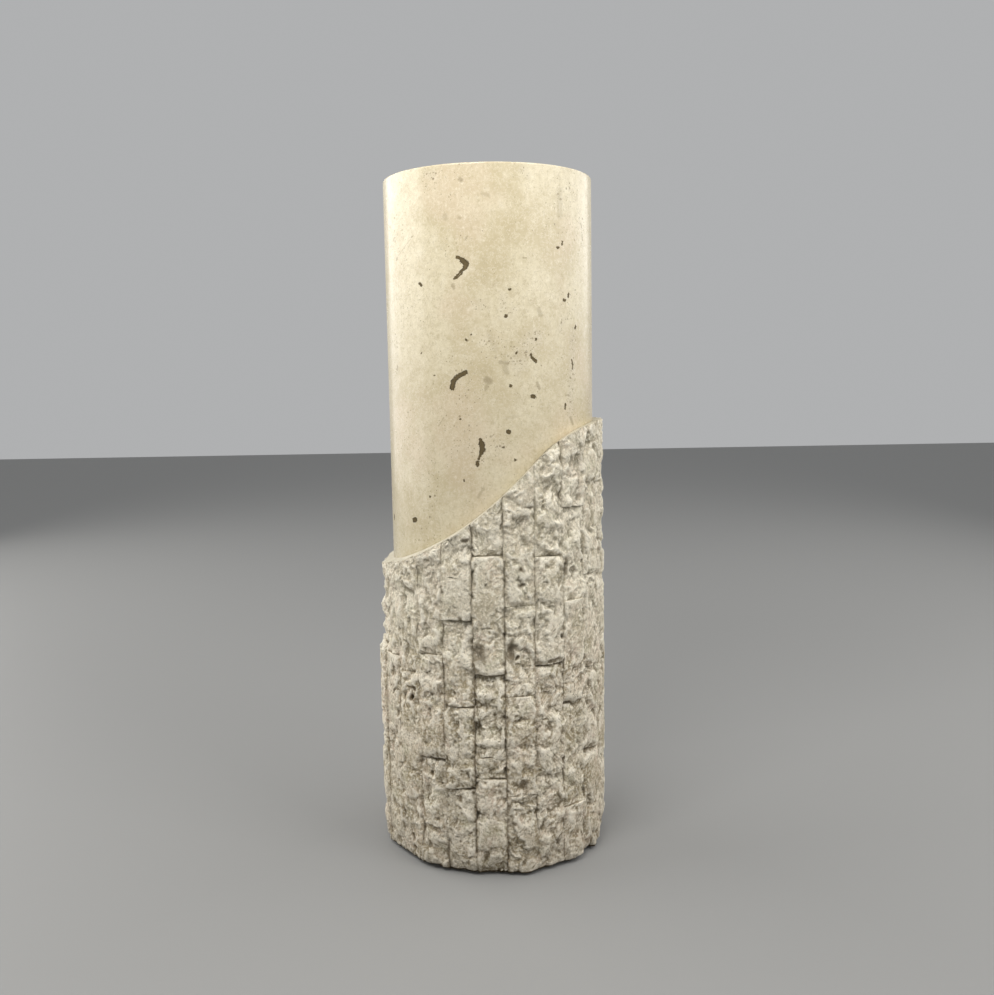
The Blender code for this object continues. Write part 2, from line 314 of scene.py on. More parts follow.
polished_stone = bpy.data.materials.new("polished_shelly_limestone")
stone = Nodes(polished_stone)
here = stone.add("ShaderNodeTexCoord", {}, "Object")
x, y, z = (stone.add("ShaderNodeSeparateXYZ", {0: here}, axis) for axis in "XYZ")
from_front = stone.math("ARCTAN2", x, stone.math("MULTIPLY", y, -1.0))
round_the_drum = stone.math("MULTIPLY", from_front, DRUM_RADIUS)
level_place = stone.add("ShaderNodeCombineXYZ", {0: x, 1: y, 2: 0.0})
inward = stone.math("SUBTRACT", DRUM_RADIUS, stone.vector("LENGTH", level_place, output="Value"))
unrolled = stone.add("ShaderNodeCombineXYZ", {0: round_the_drum, 1: z, 2: inward})
wobble = stone.vector("SUBTRACT", stone.noise(here, 180.0, 3.0, 0.6, output="Color"), HALF)
ragged = stone.vector("SUBTRACT", stone.noise(here, 620.0, 2.0, 0.6, output="Color"), HALF)
wobble = stone.vector("MULTIPLY", wobble, WOBBLE)
wobble = stone.vector("ADD", wobble, stone.vector("MULTIPLY", ragged, RAGGED))
flat = stone.vector("ADD", unrolled, wobble)


def marked_by(lines, outer, inner):
    """How strongly the stone is marked: each line fades from inner to outer times its half width."""
    marked = 0.0
    for *line, half_width, depth in lines:
        far = stone.far_from_line(flat, *line)
        inside = stone.ramp(far, half_width * outer, half_width * inner, 0.0, depth)
        marked = stone.math("MAXIMUM", marked, inside)
    return marked


shells = marked_by([(*shell, 1.0) for shell in SHELLS], 0.00132, 0.0)
blotches = marked_by(BLOTCHES, 0.0012, 0.0004)
swarms = marked_by(SWARMS, 0.0013, 0.0003)

# The ground of the stone: cream in clouds, mottled, flecked and gritty, a little rosy in places.
CREAM, PALE_CREAM = (0.545, 0.468, 0.305), (0.655, 0.585, 0.415)
DARK_MOTTLE, PALE_MOTTLE = (0.47, 0.40, 0.25), (0.72, 0.66, 0.51)
DARK_FLECK, PALE_FLECK = (0.44, 0.37, 0.235), (0.78, 0.71, 0.56)
ROSY, BROWN_GRIT, DULL = (0.66, 0.54, 0.40), (0.36, 0.29, 0.17), (0.58, 0.52, 0.41)
clouds = stone.noise(here, 13.0, 6.0, 0.62)
mottle = stone.noise(here, 75.0, 5.0, 0.68)
flecks = stone.noise(stone.vector("MULTIPLY", here, (1.0, 1.0, 0.62)), 230.0, 3.0, 0.62)
grit = stone.noise(here, 560.0, 3.0, 0.65)
warm = stone.noise(stone.vector("ADD", here, (3.1, 1.7, 0.4)), 9.0, 3.0, 0.5)
colour = stone.mix(stone.ramp(clouds, 0.38, 0.62), CREAM, PALE_CREAM)
colour = stone.mix(stone.ramp(mottle, 0.48, 0.72, 0.0, 0.62), colour, DARK_MOTTLE)
colour = stone.mix(stone.ramp(mottle, 0.48, 0.26, 0.0, 0.55), colour, PALE_MOTTLE)
colour = stone.mix(stone.ramp(warm, 0.50, 0.68, 0.0, 0.40), colour, ROSY)
colour = stone.mix(stone.ramp(flecks, 0.56, 0.74, 0.0, 0.55), colour, DARK_FLECK)
colour = stone.mix(stone.ramp(flecks, 0.42, 0.26, 0.0, 0.55), colour, PALE_FLECK)
colour = stone.mix(stone.ramp(grit, 0.58, 0.76, 0.0, 0.35), colour, BROWN_GRIT)
colour = stone.mix(stone.math("MULTIPLY", swarms, 0.30), colour, DULL)


def specks_of(scale, share):
    """Small round specks, at most one in each cell, in a share of the cells."""
    cells = stone.tree.nodes.new("ShaderNodeTexVoronoi")
    cells.inputs["Scale"].default_value = scale
    stone.tree.links.new(here, cells.inputs["Vector"])
    pick = stone.add("ShaderNodeSeparateColor", {0: cells.outputs["Color"]}, 0)
    size = stone.ramp(pick, stone.math("SUBTRACT", 1.0, share), 1.02, 0.0, 0.46)
    return stone.math("LESS_THAN", cells.outputs["Distance"], size)


# Specks, thickest in the swarms, in a coarse and a fine size.
COARSE_SPECK, FINE_SPECK, SPECK_STRENGTH = (0.20, 0.155, 0.085), (0.17, 0.13, 0.07), 0.60
strewn = stone.noise(stone.vector("ADD", here, (0.0, 0.0, 7.7)), 16.0, 2.0, 0.5)
everywhere = stone.ramp(strewn, 0.48, 0.66, 0.02, 0.12)
thickness = stone.math("ADD", stone.math("MULTIPLY", swarms, 0.32), everywhere)
coarse_specks = specks_of(260.0, thickness)
fine_specks = specks_of(520.0, stone.math("MULTIPLY", thickness, 2.0))
colour = stone.mix(stone.math("MULTIPLY", coarse_specks, SPECK_STRENGTH), colour, COARSE_SPECK)
colour = stone.mix(stone.math("MULTIPLY", fine_specks, SPECK_STRENGTH), colour, FINE_SPECK)

# Fine curled threads of shell, brown and pale.
BROWN_THREAD, PALE_THREAD = (0.34, 0.275, 0.165), (0.84, 0.78, 0.64)
curl = stone.math("ABSOLUTE", stone.math("SUBTRACT", stone.noise(here, 85.0, 4.0, 0.65), 0.5))
threads = stone.math("MULTIPLY", stone.ramp(curl, 0.018, 0.0), stone.ramp(clouds, 0.42, 0.60, 0.08, 0.42))
colour = stone.mix(threads, colour, BROWN_THREAD)
pale_curl = stone.noise(stone.vector("ADD", here, (2.2, 0.9, 3.3)), 140.0, 4.0, 0.65)
pale_curl = stone.math("ABSOLUTE", stone.math("SUBTRACT", pale_curl, 0.5))
colour = stone.mix(stone.ramp(pale_curl, 0.024, 0.0, 0.0, 0.40), colour, PALE_THREAD)

# The marks themselves, dull brown inside where the polish doesn't take, over painted shade
# that darkens the drum towards its foot.
PAINTED_SHADE_LOW, BLOTCH = (0.38, 0.31, 0.19), (0.25, 0.20, 0.115)
SHELL_RIM, SHELL_HEART, SHELL_FLECK = (0.030, 0.018, 0.006), (0.085, 0.060, 0.024), (0.16, 0.115, 0.055)
# Painted shade: the drum's colour darkens towards its foot, where less light falls.
colour = stone.mix(stone.ramp(z, 0.80, 0.55, 0.0, 0.11), colour, PAINTED_SHADE_LOW)
colour = stone.mix(blotches, colour, BLOTCH)
brown = stone.mix(stone.ramp(shells, 0.25, 0.75), SHELL_RIM, SHELL_HEART)
brown = stone.mix(stone.ramp(flecks, 0.54, 0.68, 0.0, 0.5), brown, SHELL_FLECK)
colour = stone.mix(stone.ramp(shells, 0.04, 0.26, 0.0, 0.93), colour, brown)
stone.put(stone.shader.inputs["Base Color"], colour)
stone.put(stone.shader.inputs["Roughness"], stone.ramp(mottle, 0.3, 0.8, 0.20, 0.30))
stone.put(stone.shader.inputs["Specular IOR Level"], stone.ramp(shells, 0.05, 0.30, 0.5, 0.05))
stone.shader.inputs["IOR"].default_value = 1.5
sunken = {"Height": stone.math("MULTIPLY", shells, -1.0), "Strength": 0.25, "Distance": 0.0003}
stone.put(stone.shader.inputs["Normal"], stone.add("ShaderNodeBump", sunken))

drum = add_piece("polished_drum", *turned_drum(), [polished_stone])
drum.data.shade_smooth()
drum.data.set_sharp_from_angle(angle=math.radians(50))
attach(drum, "root")
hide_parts("polished_shaft")


# The split stones
# Blocks of the same limestone, sawn to strips 41 mm wide and split across, so that the broken face
# shows outwards. They are glued to the drum's foot in upright strips and sawn off along one wave.

PITCH = 0.00122  # spacing of the mesh on a split face
COLUMNS = 36
BACK_COLUMNS = 4
SOLID_ROWS = 6  # rows of corners that a solid has to each of its stones
FACE_RADIUS = DRUM_RADIUS + 0.0155
BACK_RADIUS = DRUM_RADIUS + 0.0003
DEEPEST_RADIUS = DRUM_RADIUS + 0.004  # no pit or groove goes deeper than this
CLOSED_REACH = 0.00053  # how far a stone fills a joint that shows no gap


def chance(i, j, seed):
    """A fixed random number between 0 and 1 for each cell of a grid."""
    mixed = (i * 374761393 + j * 668265263 + seed * 144665093) & 0xFFFFFFFF
    mixed = ((mixed ^ (mixed >> 13)) * 1274126177) & 0xFFFFFFFF
    return ((mixed ^ (mixed >> 16)) & 0xFFFF) / 65535.0


def eased(share):
    share = np.clip(share, 0.0, 1.0)
    return share * share * (3 - 2 * share)


def grain(across, up, size, seed):
    """Smooth lumps of this size, with heights from about -1 to 1."""
    x, y = across / size, up / size
    i, j = np.floor(x).astype(np.int64), np.floor(y).astype(np.int64)
    x, y = x - i, y - j

    def corner(di, dj):
        turn = chance(i + di, j + dj, seed) * 2 * math.pi
        return np.cos(turn) * (x - di) + np.sin(turn) * (y - dj)

    share_x, share_y = eased(x), eased(y)
    low = corner(0, 0) * (1 - share_x) + corner(1, 0) * share_x
    high = corner(0, 1) * (1 - share_x) + corner(1, 1) * share_x
    return 1.6 * (low * (1 - share_y) + high * share_y)


def broken_facets(across, up, size, seed, tilt, step, edge, ripple, ripple_size):
    """Height of a broken face: facets of about this size, each with its own tilt, step and ripples."""
    x, y = across / size, up / size
    i, j = np.floor(x).astype(np.int64), np.floor(y).astype(np.int64)
    near = np.full(x.shape, 9.0)
    next_near = near.copy()
    height, next_height, along, aside = (np.zeros(x.shape) for _ in range(4))
    for di in (-1, 0, 1):
        for dj in (-1, 0, 1):
            ci, cj = i + di, j + dj
            dx = x - ci - chance(ci, cj, seed)
            dy = y - cj - chance(ci, cj, seed + 1)
            far = np.sqrt(dx * dx + dy * dy)
            turn = 2 * math.pi * chance(ci, cj, seed + 2)
            lean = tilt * (0.3 + chance(ci, cj, seed + 3))
            downhill = size * (np.cos(turn) * dx + np.sin(turn) * dy)
            plane = lean * downhill + step * (chance(ci, cj, seed + 4) - 0.5)
            nearer = far < near
            next_height = np.where(nearer, height, np.where(far < next_near, plane, next_height))
            next_near = np.where(nearer, near, np.minimum(next_near, far))
            height = np.where(nearer, plane, height)
            along = np.where(nearer, downhill, along)
            aside = np.where(nearer, size * (np.cos(turn) * dy - np.sin(turn) * dx), aside)
            near = np.minimum(near, far)
    inside = eased((next_near - near) * size / edge)
    ripples = ripple * inside * (0.4 - np.abs(grain(along, aside * 0.35, ripple_size, seed + 5)))
    return height * (0.5 + 0.5 * inside) + next_height * (0.5 - 0.5 * inside) + ripples


def pitted(across, up, size, seed, share, radius, depth):
    """Depth of small round pits, at most one in each cell of this size, in a share of the cells."""
    x, y = across / size, up / size
    i, j = np.floor(x).astype(np.int64), np.floor(y).astype(np.int64)
    pits = np.zeros(x.shape)
    for di in (-1, 0, 1):
        for dj in (-1, 0, 1):
            ci, cj = i + di, j + dj
            far = np.hypot(x - ci - chance(ci, cj, seed), y - cj - chance(ci, cj, seed + 1)) * size
            reach = radius * (0.5 + chance(ci, cj, seed + 2))
            there = chance(ci, cj, seed + 3) < share
            pits = np.maximum(pits, np.where(there, depth * eased(1.3 - far / reach), 0.0))
    return pits


def broken_face(across, up, seed, coarse, crumbly):
    """Height of a split surface over the solid's face: lumps, facets, creases, grit and pits.

    Each kind of relief is its height times a pattern of its own size, both in metres.
    """
    # The break doesn't run straight: u and v are the place on the face, pushed to and fro.
    u = across + 0.0050 * grain(across, up, 0.021, seed + 11)
    v = up + 0.0050 * grain(across, up, 0.021, seed + 12)
    u = u + 0.0016 * grain(across, up, 0.0060, seed + 18)
    v = v + 0.0016 * grain(across, up, 0.0060, seed + 19)
    lumps = 0.0044 * grain(across, up * 1.1, 0.038, seed + 13)
    lumps = lumps + 0.0026 * grain(u, v * 1.2, 0.0190, seed + 16)
    plates = broken_facets(u, v * 0.9, size=0.017, seed=seed + 20, tilt=0.27, step=0.0003, edge=0.0062,
                           ripple=0.0005, ripple_size=0.0048)
    flakes = broken_facets(u, v, size=0.0072, seed=seed + 30, tilt=0.28, step=0.0001, edge=0.0028,
                           ripple=0.0003, ripple_size=0.0032)
    patchy = 0.45 + 0.55 * eased(0.5 + grain(across, up, 0.024, seed + 14))
    lean = 2 * math.pi * float(chance(np.int64(seed), np.int64(1), 3))
    along, aside = u * math.cos(lean) + v * math.sin(lean), v * math.cos(lean) - u * math.sin(lean)
    ridges = 0.0013 * (0.4 - np.abs(grain(along * 0.4, aside, 0.0080, seed + 15)))
    grit = 0.00060 * grain(u, v, 0.0046, seed + 41) + 0.00060 * grain(across, up, 0.0028, seed + 42)
    pits = pitted(u, v, size=0.0100, seed=seed + 50, share=0.22, radius=0.0013, depth=0.0010)
    crumbled = crumbly * patchy * (flakes + ridges)
    return coarse * (plates + lumps) + crumbled + (0.6 + 0.4 * patchy) * grit - pits


def blurred(values, reach_rows, reach_columns):
    """The mean of the values round each place."""
    for axis, reach in ((0, reach_rows), (1, reach_columns)):
        padded = np.pad(values, [(reach, reach) if a == axis else (0, 0) for a in (0, 1)], mode="edge")
        total = np.insert(np.cumsum(padded, axis=axis), 0, 0.0, axis=axis)
        count, size = 2 * reach + 1, values.shape[axis]
        after, before = np.take(total, range(count, count + size), axis), np.take(total, range(size), axis)
        values = (after - before) / count
    return values


SAME = 1e-4  # heights or angles nearer than this are the same


def distinct(heights):
    heights = np.sort(heights)
    return heights[np.insert(np.diff(heights) > SAME, 0, True)]


def solid_points(node):
    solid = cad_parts[node].data
    points = np.empty(len(solid.vertices) * 3)
    solid.vertices.foreach_get("co", points)
    return points.reshape(-1, 3)


strips = sorted(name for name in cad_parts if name.startswith("split_stone_strip"))


def sawn_line():
    """Height of the sawn top at each x, read from the top corners of all the solids."""
    places = []
    for node in strips:
        points = solid_points(node)
        angle = np.arctan2(points[:, 0], -points[:, 1]).round(4)
        inner = np.hypot(points[:, 0], points[:, 1]) < DRUM_RADIUS + 0.002
        for side in (inner, ~inner):
            for each in np.unique(angle[side]):
                column = points[side & (angle == each)]
                places.append(tuple(column[np.argmax(column[:, 2])][[0, 2]]))
    return np.array(sorted(places)).T


sawn_x, sawn_z = sawn_line()


def sawn_height(x):
    return np.interp(x, sawn_x, sawn_z)


FACE_ROWS = np.linspace(0.0, 1.0, 7)
FACE_COLUMNS = np.array([0.10, 0.30, 0.50, 0.70, 0.90])
BED_INSET = 0.0045  # the solid's face is read this far from a bed joint
OUTSIDE = 0.25  # a place well outside the stones, where each reading starts


def read_strip(node):
    """A strip's edge angles, and each stone's foot, head and face, as the solid has them."""
    points = solid_points(node)
    middle = points.mean(0)
    centre = math.atan2(middle[0], -middle[1])
    angle = np.arctan2(points[:, 0], -points[:, 1])
    angle = centre + (angle - centre + math.pi) % (2 * math.pi) - math.pi
    radius = np.hypot(points[:, 0], points[:, 1])
    start, end = angle.min(), angle.max()
    edge_beds = []
    for edge in (start, end):
        on_edge = (radius > DEEPEST_RADIUS) & (np.abs(angle - edge) < SAME)
        heights = distinct(points[on_edge][:, 2])
        edge_beds.append([*heights[::SOLID_ROWS], heights[-1]])
    tree = BVHTree.FromPolygons([v.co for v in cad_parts[node].data.vertices],
                                [p.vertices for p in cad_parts[node].data.polygons])
    stones = []
    for (foot_a, head_a), (foot_b, head_b) in zip(*(zip(beds, beds[1:]) for beds in edge_beds)):
        radii = np.full((len(FACE_ROWS), len(FACE_COLUMNS)), np.nan)
        for column, share in enumerate(FACE_COLUMNS):
            turn = start + (end - start) * share
            out = Vector((math.sin(turn), -math.cos(turn), 0.0))
            low = foot_a + (foot_b - foot_a) * share + BED_INSET
            high = head_a + (head_b - head_a) * share - BED_INSET
            for row, up in enumerate(FACE_ROWS):
                start_at = out * OUTSIDE + Vector((0, 0, low + (high - low) * up))
                hit = tree.ray_cast(start_at, -out)[0]
                if hit:
                    radii[row, column] = math.hypot(hit.x, hit.y)
        radii = np.where(np.isnan(radii), np.nanmean(radii), radii)
        stones.append({"foot": (foot_a, foot_b), "head": (head_a, head_b), "face": radii})
    return {"node": node, "start": start, "end": end, "stones": stones, "most": radius.max()}


def face_at_edge(strip, side, height):
    """Radius of a strip's solid at its left (0) or right (1) edge, at these heights."""
    heights, radii = [], []
    for stone in strip["stones"]:
        low, high = stone["foot"][side] + BED_INSET, stone["head"][side] - BED_INSET
        heights += list(low + (high - low) * FACE_ROWS)
        radii += list(stone["face"][:, -side])
    return np.interp(height, heights, radii)


def spread(values, new_rows, new_columns):
    """A stone's face as it was read, at more rows and columns."""
    by_row = np.array([np.interp(new_rows, FACE_ROWS, column) for column in values.T]).T
    return np.array([np.interp(new_columns, FACE_COLUMNS, row) for row in by_row])


# What stands out or lies deep in the faces in front: angle and height of its middle, half width and
# half height, how far it stands out, all in mm but the first two, and how dark it is stained; for
# the mark just under the lip at 27 degrees that darkness is painted shadow.
FACE_MARKS = [
    (-46.1, 0.2297, 3.4, 3.0, -7.0, 1.5), (-44.0, 0.2430, 6.0, 4.0, -3.5, 0.7),
    (-33.5, 0.1335, 3.0, 2.2, -4.0, 0.9), (12.8, 0.4075, 4.5, 3.0, -3.5, 0.9),
    (-7.3, 0.3040, 10.0, 14.0, -4.0, 0.66), (8.0, 0.3020, 6.0, 14.0, -4.0, 0.66),
    (11.0, 0.2935, 3.0, 2.0, -3.0, 0.8), (13.3, 0.3880, 5.0, 3.0, -3.0, 0.7),
    (34.0, 0.3160, 2.2, 3.0, -4.0, 0.8), (37.5, 0.4050, 5.0, 12.0, -3.5, 0.7),
    (43.0, 0.3990, 7.0, 5.0, -3.0, 0.5), (-12.5, 0.4480, 5.0, 3.0, -2.0, 0.7),
    # The dark mark at 29 degrees, 0.286 m, is painted shadow beneath the lip at 27 degrees.
    (27.0, 0.2990, 12.0, 12.0, 3.0, 0.0), (29.0, 0.2860, 12.0, 2.5, -1.0, 0.5),
    (-27.5, 0.2460, 3.0, 12.0, -1.5, 0.35), (-18.5, 0.1040, 4.0, 4.0, -2.0, 0.45),
    (13.0, 0.1240, 6.0, 7.0, -2.5, 0.45), (34.5, 0.1510, 3.0, 3.0, -2.5, 0.6),
    (40.5, 0.5420, 3.0, 8.0, -2.5, 0.6), (16.5, 0.4870, 8.0, 1.6, -3.0, 0.6),
    (-33.0, 0.4180, 4.0, 2.5, -2.0, 0.5), (-47.0, 0.0200, 5.0, 4.0, -3.5, 0.5),
    (45.0, 0.1620, 1.2, 1.2, -2.0, 0.8), (24.0, 0.2090, 7.0, 1.6, -1.0, 0.4),
    (-4.5, 0.1635, 9.0, 1.0, -2.5, 0.5), (-3.0, 0.3330, 8.0, 1.1, -2.0, 0.4),
    (-19.0, 0.3990, 9.0, 1.2, -2.5, 0.4), (-83.0, 0.1100, 16.0, 20.0, 3.5, 0.0),
    (-83.0, 0.2000, 16.0, 20.0, 2.5, 0.0), (-82.0, 0.0080, 16.0, 12.0, -4.0, 0.0),
    (-82.0, 0.1600, 10.0, 8.0, -2.0, 0.2), (83.0, 0.0100, 16.0, 14.0, -4.0, 0.0),
    (83.0, 0.3000, 14.0, 12.0, -3.0, 0.0), (83.0, 0.2450, 14.0, 14.0, 2.0, 0.0),
]
# How far the upright joints in front stand open, from 0, closed, to 1, by the strip on their right,
# counted from the first joint right of the front. The others are left to chance.
JOINTS_OPEN = {
    -12: 1.2, -6: 0.1, -5: 0.1, -4: 0.25, -3: 0.35, -2: 0.55, -1: 1.05,
    0: 0.85, 1: 0.5, 2: 0.5, 3: 0.05, 4: 0.1, 5: 0.1,
}
# The same for the bed joints, by strip and by the stone above: openness at the left and right ends.
BEDS_OPEN = {
    (-4, 1): (0.2, 0.3), (-4, 2): (0.3, 0.3), (-3, 1): (0.7, 0.7), (-3, 2): (0.3, 0.2),
    (-2, 1): (0.3, 1.1), (-2, 2): (0.6, 0.7), (-2, 3): (0.3, 1.2), (-1, 1): (0.3, 0.5),
    (-1, 2): (0.7, 1.2), (-1, 3): (0.5, 0.7), (0, 1): (0.2, 0.4), (0, 2): (0.4, 0.4),
    (0, 3): (0.4, 0.2), (0, 4): (0.6, 1.2), (1, 1): (0.2, 0.3), (1, 2): (1.1, 1.3),
    (1, 3): (0.5, 0.5), (2, 1): (0.3, 0.1), (2, 2): (1.2, 0.5), (2, 3): (0.3, 0.3),
    (2, 4): (0.8, 0.4),
}


def joint_openness(joint, height):
    likely = JOINTS_OPEN.get(joint, 0.05 + 0.9 * float(chance(np.int64(joint), np.int64(3), 77)))
    change = grain(np.full(np.shape(height), 0.31 * joint), height, 0.052, 700 + joint)
    return np.clip(likely + 0.55 * change, 0.0, 1.0)


def joint_sway(joint, height):
    """How far a joint's line swings to the right of its straight course."""
    course = np.full(np.shape(height), 0.31 * (joint % len(strips)))
    return 0.0008 * grain(course, height, 0.021, 733) + 0.0005 * grain(course, height, 0.0070, 734)


# Sizes over a stone's face, in metres. Stones that meet in a closed joint share one surface there.
MEETING = 0.012  # where two faces are drawn to the same depth, in from an upright joint
SHARING = 0.010  # where they share their relief, in from any joint
GROOVE = 0.0016  # depth and width of an open joint's groove
CHIP_DEPTH, CHIP_SIZE, CHIP_REACH = 0.0030, 0.010, 0.008
SIDE_ROUNDING, SIDE_ROUNDED = 0.0012, 0.009  # how far a stone falls off to an open side, and from where
FOOT_ROUNDING, FOOT_ROUNDED = 0.0026, 0.012
HEAD_ROUNDING, HEAD_ROUNDED = 0.0032, 0.014
LIP_ROOM, LIP_SOFTNESS = 0.0022, 0.0015  # kept free inside the solid's reach, and how softly
JOINT_STAIN = 0.36


def stone_surface(strip, number, level):
    """Angle, radius, height, tone, and stain with painted shadow over one stone's face, as rows and
    columns.
    """
    stone = strip["stones"][level]
    seed = 1000 * (number + 20) + 100 * level
    dice = np.random.default_rng(seed)
    top_stone = level == len(strip["stones"]) - 1
    width = (strip["end"] - strip["start"]) * FACE_RADIUS
    middle_gaps = np.linspace(0.0025, width - 0.0025, COLUMNS - 5)
    gaps = np.concatenate([[0.0, 0.0005, 0.0014], middle_gaps, [width - 0.0014, width - 0.0005, width]])
    shares = gaps / width
    angles = strip["start"] + (strip["end"] - strip["start"]) * shares
    foot = stone["foot"][0] + (stone["foot"][1] - stone["foot"][0]) * shares
    head = stone["head"][0] + (stone["head"][1] - stone["head"][0]) * shares
    if top_stone:
        head = sawn_height(FACE_RADIUS * np.sin(angles))
    tall = float(np.mean(head - foot))
    middle_ups = np.linspace(0.0016, tall - 0.0016, round(tall / PITCH))
    ups = np.concatenate([[0.0, 0.0006], middle_ups, [tall - 0.0006, tall]])
    ups = ups if top_stone else ups[:-1]
    height = foot + (head - foot) * (ups / tall)[:, None]
    across = np.broadcast_to(gaps, height.shape)
    radius = blurred(spread(stone["face"], ups / tall, shares), 6, 4)

    left, right = across, width - across
    open_left, open_right = joint_openness(number, height), joint_openness(number + 1, height)
    for away, gap, side in ((left, open_left, 0), (right, open_right, 1)):
        neighbour = strip["right"] if side else strip["left"]
        both = (face_at_edge(strip, side, height) + face_at_edge(neighbour, 1 - side, height)) / 2
        joined = (1 - gap) * eased(1 - away / MEETING)
        radius = radius + joined * (both - radius)
    joined_left = (1 - open_left) * eased(1 - left / SHARING)
    joined_right = (1 - open_right) * eased(1 - right / SHARING)
    joined = np.maximum(joined_left, joined_right)

    def bed_openness(of_level):
        if of_level in (0, len(strip["stones"])):
            return np.ones(len(shares))
        known = BEDS_OPEN.get((number, of_level))
        if known is None:
            known = 1.3 * chance(np.int64(number), np.array([9, 10]) + 2 * of_level, 78)
        change = grain(gaps, gaps * 0 + 0.3 * of_level, 0.013, 800 + number)
        return np.clip(known[0] + (known[1] - known[0]) * shares + 0.35 * change, 0.0, 1.2)

    below, above = height - foot, head - height
    open_below, open_above = bed_openness(level), bed_openness(level + 1)
    joined = np.maximum(joined, np.clip(1 - open_below, 0, 1) * eased(1 - below / SHARING))
    joined = np.maximum(joined, np.clip(1 - open_above, 0, 1) * eased(1 - above / SHARING))

    own = broken_face(across, height, seed, dice.uniform(0.7, 1.4), dice.uniform(0.4, 1.3))
    round_it = angles * FACE_RADIUS + 0 * height
    shared = broken_face(round_it, height, 5, 1.0, 0.9)
    relief = own + joined * (shared - own)
    stain_and_shadow = np.zeros(height.shape)
    ragged_x = 0.0024 * grain(round_it, height, 0.0075, 91)
    ragged_z = 0.0024 * grain(round_it, height, 0.0075, 92)
    for mark_angle, mark_height, half_wide, half_high, out, dark in FACE_MARKS:
        dx = (round_it - math.radians(mark_angle) * FACE_RADIUS + ragged_x) * 1000 / half_wide
        dz = (height - mark_height + ragged_z) * 1000 / half_high
        strength = np.exp(-((dx**2 + dz**2) ** 1.6))
        relief = relief + strength * out * 0.001
        stain_and_shadow = np.maximum(stain_and_shadow, strength * dark)

    chips = eased(grain(across, height, CHIP_SIZE, seed + 60) * 1.5 - 0.15)
    wear = 0.0
    for away, gap in ((left, open_left), (right, open_right), (below, open_below), (above, open_above)):
        ease = 0.5 if top_stone and away is above else 1.0
        groove = GROOVE * np.exp(-away / GROOVE) + CHIP_DEPTH * chips * eased(1 - away / CHIP_REACH)
        wear = np.maximum(wear, ease * gap * groove)
        stain_and_shadow = np.maximum(stain_and_shadow, JOINT_STAIN * gap * ease * np.exp(-away / GROOVE))
    to_sides = open_left * (1 - eased(left / SIDE_ROUNDED)) + open_right * (1 - eased(right / SIDE_ROUNDED))
    pillow = SIDE_ROUNDING * to_sides
    pillow = pillow + FOOT_ROUNDING * open_below * (1 - eased(below / FOOT_ROUNDED))
    if not top_stone:
        pillow = pillow + HEAD_ROUNDING * open_above * (1 - eased(above / HEAD_ROUNDED))
    radius = radius + relief - wear - pillow
    # The lowest edge is worn back a little and painted black as the shadow line at the foot; open bed
    # joints are cut in further.
    if level == 0:
        undercut = 1 - eased(below / 0.0042)
        radius = radius - 0.0014 * undercut - 0.0012 * (1 - eased(below / 0.008))
        # Painted shadow: the lowest few millimetres are stained black like the shadow gap under the foot.
        stain_and_shadow = np.maximum(stain_and_shadow, 1 - eased((below - 0.0018) / 0.0024))
    if level:
        radius[0] -= 0.0003 + 0.0020 * open_below**2
        radius[1] -= 0.0010 * open_below**2
    if not top_stone:
        radius[-1] -= 0.0010 * open_above**2
    room = strip["most"] - LIP_ROOM
    over = np.maximum(radius - room, 0.0)
    radius = np.where(over > 0, room + LIP_SOFTNESS * (1 - np.exp(-over / LIP_SOFTNESS)), radius)
    radius = np.maximum(radius, DEEPEST_RADIUS)
    sideways = joint_sway(number, height) * eased(1 - left / SIDE_ROUNDED)
    sideways = sideways + joint_sway(number + 1, height) * eased(1 - right / SIDE_ROUNDED)
    sideways[:, 0] -= CLOSED_REACH
    sideways[:, -1] += CLOSED_REACH
    turned = angles + sideways / FACE_RADIUS
    tone = np.broadcast_to(dice.uniform(0, 1, 3), (*height.shape, 3))
    return turned, radius, height, tone, stain_and_shadow


def keep_at_points(mesh, name, values, spare):
    """Keeps a number at each point of the face for the material, and 0 at the spare points behind."""
    attribute = mesh.attributes.new(name, "FLOAT", "POINT")
    values = np.concatenate([values.ravel(), np.zeros(spare)])
    attribute.data.foreach_set("value", values.astype(np.float32))


